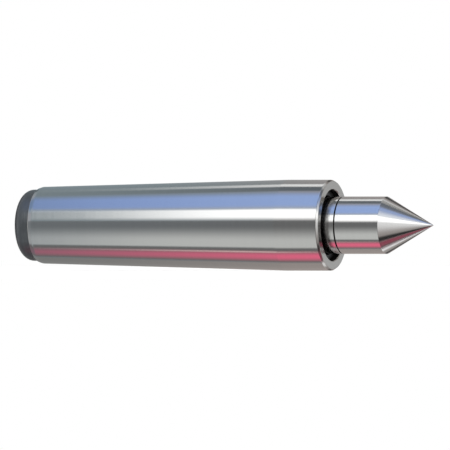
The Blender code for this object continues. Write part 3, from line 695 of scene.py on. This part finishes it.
def stage_piece(name, spots, material, **values):
    """A stage surface from a grid of points; each of values becomes an attribute of that name."""
    rows, columns = spots.shape[:2]
    number = np.arange(rows * columns).reshape(rows, columns)
    faces = np.stack([number[:-1, :-1], number[1:, :-1], number[1:, 1:], number[:-1, 1:]], axis=-1)
    mesh = bpy.data.meshes.new(name)
    mesh.from_pydata(spots.reshape(-1, 3).tolist(), [], faces.reshape(-1, 4).tolist())
    for label, value in values.items():
        mesh.attributes.new(label, "FLOAT", "POINT").data.foreach_set("value", value.ravel())
    mesh.materials.append(material)
    shown = bpy.data.objects.new(name, mesh)
    bpy.context.collection.objects.link(shown)
    return shown


# The floor is rings of growing reach about the part, and eases to white from its plain middle outwards.
FLOOR_HUB = 1.6 * MM
FLOOR_PLAIN = 0.5
FLOOR_WHITE = 1.52
FLOOR_RADIUS = 1.6
FLOOR_HEIGHT = cad_box[0].z
FLOOR_RINGS = 24
FLOOR_TURNS = 96
FLOOR_COLOUR = (0.90, 0.90, 0.90)
FLOOR_ROUGHNESS = 0.9
FLOOR_GLOW = 0.6
paper = bpy.data.materials.new("floor_paper")
paper.use_nodes = True
tree = paper.node_tree
matt = tree.nodes["Principled BSDF"]
matt.inputs["Base Color"].default_value = (*FLOOR_COLOUR, 1)
matt.inputs["Roughness"].default_value = FLOOR_ROUGHNESS
matt.inputs["Specular IOR Level"].default_value = 0.0
glow = tree.nodes.new("ShaderNodeEmission")
edge = tree.nodes.new("ShaderNodeAttribute")
edge.attribute_name = "fade"
either = tree.nodes.new("ShaderNodeMixShader")
tree.links.new(sum_node(tree, "MULTIPLY", seen_ray(tree), edge.outputs["Fac"]), either.inputs[0])
tree.links.new(matt.outputs[0], either.inputs[1])
tree.links.new(glow.outputs[0], either.inputs[2])
tree.links.new(either.outputs[0], tree.nodes["Material Output"].inputs[0])
floor_reach = np.linspace(FLOOR_HUB, FLOOR_RADIUS, FLOOR_RINGS)
floor_turn = np.linspace(0, 2 * math.pi, FLOOR_TURNS)
reach, turn = np.meshgrid(floor_reach, floor_turn, indexing="ij")
floor_spots = np.stack([reach * np.cos(turn), reach * np.sin(turn), 0 * turn + FLOOR_HEIGHT], axis=-1)
floor_share = smooth((reach - FLOOR_PLAIN) / (FLOOR_WHITE - FLOOR_PLAIN))
floor_fade = FLOOR_GLOW + (1 - FLOOR_GLOW) * floor_share
floor = stage_piece("floor", floor_spots, paper, fade=floor_fade)
floor.visible_glossy = False

CARD_DISTANCE = 0.9
CARD_STEPS = 41
FAN_TURN = math.radians(18)
FAN_START = -0.52
FAN_LENGTH = 0.28


def card_light(name, colours):
    """The light of a card: its colour eases from each place x in colours to the next.

    Where the card's fade is below 1, it is clear by what is missing.
    """
    material = bpy.data.materials.new(name)
    material.use_nodes = True
    tree = material.node_tree
    tree.nodes.remove(tree.nodes["Principled BSDF"])
    first, last = colours[0][0], colours[-1][0]
    place = tree.nodes.new("ShaderNodeAttribute")
    place.attribute_name = "along"
    share = tree.nodes.new("ShaderNodeMapRange")
    share.inputs["From Min"].default_value = first
    share.inputs["From Max"].default_value = last
    tree.links.new(place.outputs["Fac"], share.inputs["Value"])
    tint = tree.nodes.new("ShaderNodeValToRGB")
    tint.color_ramp.interpolation = "EASE"
    tint.color_ramp.elements[0].color = (*colours[0][1], 1)
    tint.color_ramp.elements[1].color = (*colours[-1][1], 1)
    for spot, colour in colours[1:-1]:
        tint.color_ramp.elements.new((spot - first) / (last - first)).color = (*colour, 1)
    tree.links.new(share.outputs["Result"], tint.inputs["Fac"])
    shine = tree.nodes.new("ShaderNodeEmission")
    tree.links.new(tint.outputs["Color"], shine.inputs["Color"])
    clear = tree.nodes.new("ShaderNodeBsdfTransparent")
    edge = tree.nodes.new("ShaderNodeAttribute")
    edge.attribute_name = "fade"
    either = tree.nodes.new("ShaderNodeMixShader")
    tree.links.new(edge.outputs["Fac"], either.inputs[0])
    tree.links.new(clear.outputs[0], either.inputs[1])
    tree.links.new(shine.outputs[0], either.inputs[2])
    tree.links.new(either.outputs[0], tree.nodes["Material Output"].inputs[0])
    return material


def card(name, colours, rise, rise_soft, along, along_soft, nearer=0.0, cover=1.0):
    """A curved card: at angle a and place x it lies at (x, -distance cos a, distance sin a).

    The angle goes about the axis, from the camera's side upwards. rise and along are the card's
    ends in degrees and metres, and it fades out over the soft lengths that go with them. Behind
    the fan's start the angle grows by up to the fan's turn times sin a, so that the bands run on
    over the shank's rear chamfer. A net covers only in part.
    """
    a, x = np.meshgrid(np.linspace(*rise, CARD_STEPS), np.linspace(*along, CARD_STEPS), indexing="ij")
    distance = CARD_DISTANCE - nearer
    turn = np.radians(a)
    turn = turn + FAN_TURN * smooth((FAN_START - x) / FAN_LENGTH) * np.sin(turn)
    spots = np.stack([x, -distance * np.cos(turn), distance * np.sin(turn)], axis=-1)
    fade = cover * smooth((a - rise[0]) / rise_soft[0]) * smooth((rise[1] - a) / rise_soft[1])
    fade = fade * smooth((x - along[0]) / along_soft[0]) * smooth((along[1] - x) / along_soft[1])
    shown = stage_piece(name, spots, card_light(name, colours), fade=fade, along=x)
    shown.visible_camera = False
    shown.visible_diffuse = False
    shown.visible_shadow = False
    shown.visible_transmission = False


def plain(red, green, blue):
    """The colours of a card that has one colour all over."""
    return [(0.0, (red, green, blue)), (1.0, (red, green, blue))]


def grey(level):
    """The colours of a neutral card."""
    return plain(level, level, level)


# A tent stands all round, with a dark flag at its left end and a grey card at its back.
TENT_COLOURS = [
    (-0.52, (0.27, 0.33, 0.36)),
    (-0.31, (0.42, 0.385, 0.37)),
    (1.7, (0.42, 0.385, 0.37)),
    (2.0, (0.12, 0.12, 0.12)),
    (2.8, (0.12, 0.12, 0.12)),
    (3.2, (0.45, 0.45, 0.45)),
]
card("tent_grey", TENT_COLOURS, nearer=-0.2,
     rise=(-180, 180), rise_soft=(0.1, 0.1), along=(-8, 8), along_soft=(0.1, 0.1))
LEFT_COLOURS = [(-2.3, (0.60, 0.60, 0.60)), (-1.6, (0.44, 0.46, 0.50))]
card("tent_left", LEFT_COLOURS, nearer=-0.15,
     rise=(-180, 180), rise_soft=(0.1, 0.1), along=(-7.5, -0.7), along_soft=(0.1, 0.4))
card("flag_left", grey(0.02), nearer=-0.1,
     rise=(118, 242), rise_soft=(25, 25), along=(-7.5, -0.62), along_soft=(0.5, 0.1))
card("card_back", grey(0.55), nearer=-0.1,
     rise=(160, 200), rise_soft=(8, 8), along=(0.15, 1.1), along_soft=(0.1, 0.2))

# Above the part, from the camera's side over to the back.
card("softbox", grey(1.9), nearer=0.02,
     rise=(10, 44), rise_soft=(13, 6), along=(-0.469, 1.9), along_soft=(0.025, 0.3))
card("card_pale", plain(1.05, 1.10, 1.20), nearer=0.01,
     rise=(40, 74), rise_soft=(5, 30), along=(0.45, 1.1), along_soft=(0.1, 0.2))
BLUE_COLOURS = [(-0.56, (0.23, 0.33, 0.52)), (-0.46, (0.34, 0.485, 0.91)), (-0.39, (0.42, 0.58, 1.0))]
card("card_blue", BLUE_COLOURS, nearer=0.0,
     rise=(41, 101), rise_soft=(13, 27), along=(-1.8, 1.1), along_soft=(0.25, 0.7))
HAZE_COLOURS = [(-0.5, (0.40, 0.47, 0.54)), (-0.40, (0.52, 0.57, 0.65))]
card("card_haze", HAZE_COLOURS, nearer=-0.01,
     rise=(36, 62), rise_soft=(4, 14), along=(-1.8, 1.1), along_soft=(0.25, 0.3))
TOP_FLAG_COLOURS = [(0.0, (0.15, 0.17, 0.19)), (0.25, (0.27, 0.27, 0.27))]
card("flag_top", TOP_FLAG_COLOURS, nearer=-0.02,
     rise=(94, 116), rise_soft=(5, 5), along=(-0.5, 1.1), along_soft=(0.2, 0.2))
card("flag_top_right", plain(0.17, 0.19, 0.22), nearer=0.03,
     rise=(71, 106), rise_soft=(17, 5), along=(0.24, 0.6), along_soft=(0.1, 0.15))
TOP_STRIP_COLOURS = [(-0.25, (1.10, 1.10, 1.10)), (0.1, (0.78, 0.78, 0.78))]
card("strip_top", TOP_STRIP_COLOURS, nearer=0.0,
     rise=(113, 129), rise_soft=(4, 4), along=(-0.46, 0.42), along_soft=(0.15, 0.2))
card("strip_point", grey(0.95), nearer=0.04,
     rise=(101, 115), rise_soft=(4, 3), along=(0.16, 0.33), along_soft=(0.05, 0.05))

# Below it, from the camera's side under to the back.
FRONT_FLAG_COLOURS = [(-0.52, (0.205, 0.225, 0.24)), (-0.31, (0.19, 0.19, 0.19))]
card("flag_front", FRONT_FLAG_COLOURS, nearer=-0.04,
     rise=(-40, 14), rise_soft=(10, 4), along=(-1.8, 0.5), along_soft=(0.25, 0.15))
GREY_COLOURS = [
    (-1.4, (0.46, 0.48, 0.49)),
    (-0.53, (0.40, 0.44, 0.46)),
    (-0.45, (0.75, 0.76, 0.74)),
    (-0.38, (0.71, 0.72, 0.70)),
]
card("card_grey", GREY_COLOURS, nearer=-0.02,
     rise=(-62, 0), rise_soft=(5, 43), along=(-1.8, 0.45), along_soft=(0.25, 0.2))
LOW_FLAG_COLOURS = [(-0.05, (0.19, 0.19, 0.19)), (0.25, (0.05, 0.04, 0.04))]
card("flag_low", LOW_FLAG_COLOURS, nearer=-0.04,
     rise=(-112, -58), rise_soft=(6, 4), along=(-1.8, 0.6), along_soft=(0.25, 0.2))
ROSE_COLOURS = [
    (-0.58, (0.27, 0.17, 0.21)),
    (-0.30, (1.08, 0.20, 0.34)),
    (-0.05, (1.08, 0.20, 0.34)),
    (0.32, (0.34, 0.08, 0.12)),
]
card("card_rose", ROSE_COLOURS, nearer=0.0,
     rise=(-109, -65), rise_soft=(22, 20), along=(-1.8, 1.0), along_soft=(0.25, 0.3))
ROSE_STRIP_COLOURS = [(-0.46, (0.58, 0.38, 0.42)), (-0.38, (0.95, 0.70, 0.67))]
card("strip_rose", ROSE_STRIP_COLOURS, nearer=0.02,
     rise=(-76, -69), rise_soft=(3, 3), along=(-0.49, -0.301), along_soft=(0.08, 0.006))
BROWN_COLOURS = [(-0.52, (0.27, 0.275, 0.27)), (-0.31, (0.43, 0.38, 0.36))]
card("card_brown", BROWN_COLOURS, nearer=-0.06,
     rise=(-180, -108), rise_soft=(2, 6), along=(-1.8, 0.1), along_soft=(0.25, 0.2))

# Beside the mouth and the point.
card("flag_back", grey(0.09), nearer=0.03,
     rise=(134, 220), rise_soft=(5, 6), along=(-0.10, 0.15), along_soft=(0.04, 0.05))
card("net_mouth", grey(0.01), nearer=0.04, cover=0.72,
     rise=(-76, 76), rise_soft=(14, 14), along=(-0.1, 0.48), along_soft=(0.1, 0.05))
card("flag_mouth_top", plain(0.09, 0.085, 0.06), nearer=0.05,
     rise=(106, 152), rise_soft=(8, 8), along=(0.27, 0.42), along_soft=(0.04, 0.05))
card("flag_mouth_low", plain(0.14, 0.04, 0.06), nearer=0.05,
     rise=(-152, -102), rise_soft=(8, 8), along=(0.27, 0.42), along_soft=(0.04, 0.05))
card("card_right", grey(1.05), nearer=-0.01,
     rise=(-47, 22), rise_soft=(55, 5), along=(0.53, 1.3), along_soft=(0.1, 0.1))
card("flag_right", grey(0.03), nearer=0.01,
     rise=(-79, -46), rise_soft=(10, 14), along=(0.36, 1.2), along_soft=(0.12, 0.1))
card("strip_low", grey(1.25), nearer=0.02,
     rise=(-131, -101), rise_soft=(14, 10), along=(-0.12, 0.7), along_soft=(0.1, 0.2))


KEY_WATTS = 14.0
RIM_WATTS = 5.0


def lamp(name, watts, width, height, spot, aim):
    """A soft rectangular lamp at spot that faces aim; the steel shows the cards in its place."""
    light = bpy.data.lights.new(name, "AREA")
    light.shape = "RECTANGLE"
    light.size = width
    light.size_y = height
    light.energy = watts
    shown = bpy.data.objects.new(name, light)
    bpy.context.collection.objects.link(shown)
    shown.location = spot
    shown.rotation_euler = (aim - shown.location).to_track_quat("-Z", "Y").to_euler()
    shown.visible_glossy = False


middle = (cad_box[0] + cad_box[1]) / 2
lamp("key", KEY_WATTS, width=1.2, height=0.8, spot=(-0.15, -0.9, 1.1), aim=middle)
lamp("rim", RIM_WATTS, width=1.0, height=0.6, spot=(0.3, 0.9, 0.9), aim=middle)

# The camera stands far off, turned towards the point from square on, and looks level at the axis.
VIEW_TURN = math.radians(20.4)
VIEW_DISTANCE = 9.0
VIEW_REACH = 100.0
VIEW_WIDTH = 221.6 * MM
VIEW_AIM = -27.65 * MM
VIEW_RISE = 0.1 * MM
lens = bpy.data.cameras.new("camera")
camera = bpy.data.objects.new("camera", lens)
bpy.context.collection.objects.link(camera)
lens.lens = lens.sensor_width * VIEW_DISTANCE / VIEW_WIDTH
lens.clip_end = VIEW_REACH
camera.location = (
    VIEW_AIM + VIEW_DISTANCE * math.sin(VIEW_TURN),
    -VIEW_DISTANCE * math.cos(VIEW_TURN),
    VIEW_RISE,
)
camera.rotation_euler = (math.pi / 2, 0, VIEW_TURN)
bpy.context.scene.camera = camera
bpy.context.scene.view_settings.view_transform = "Standard"
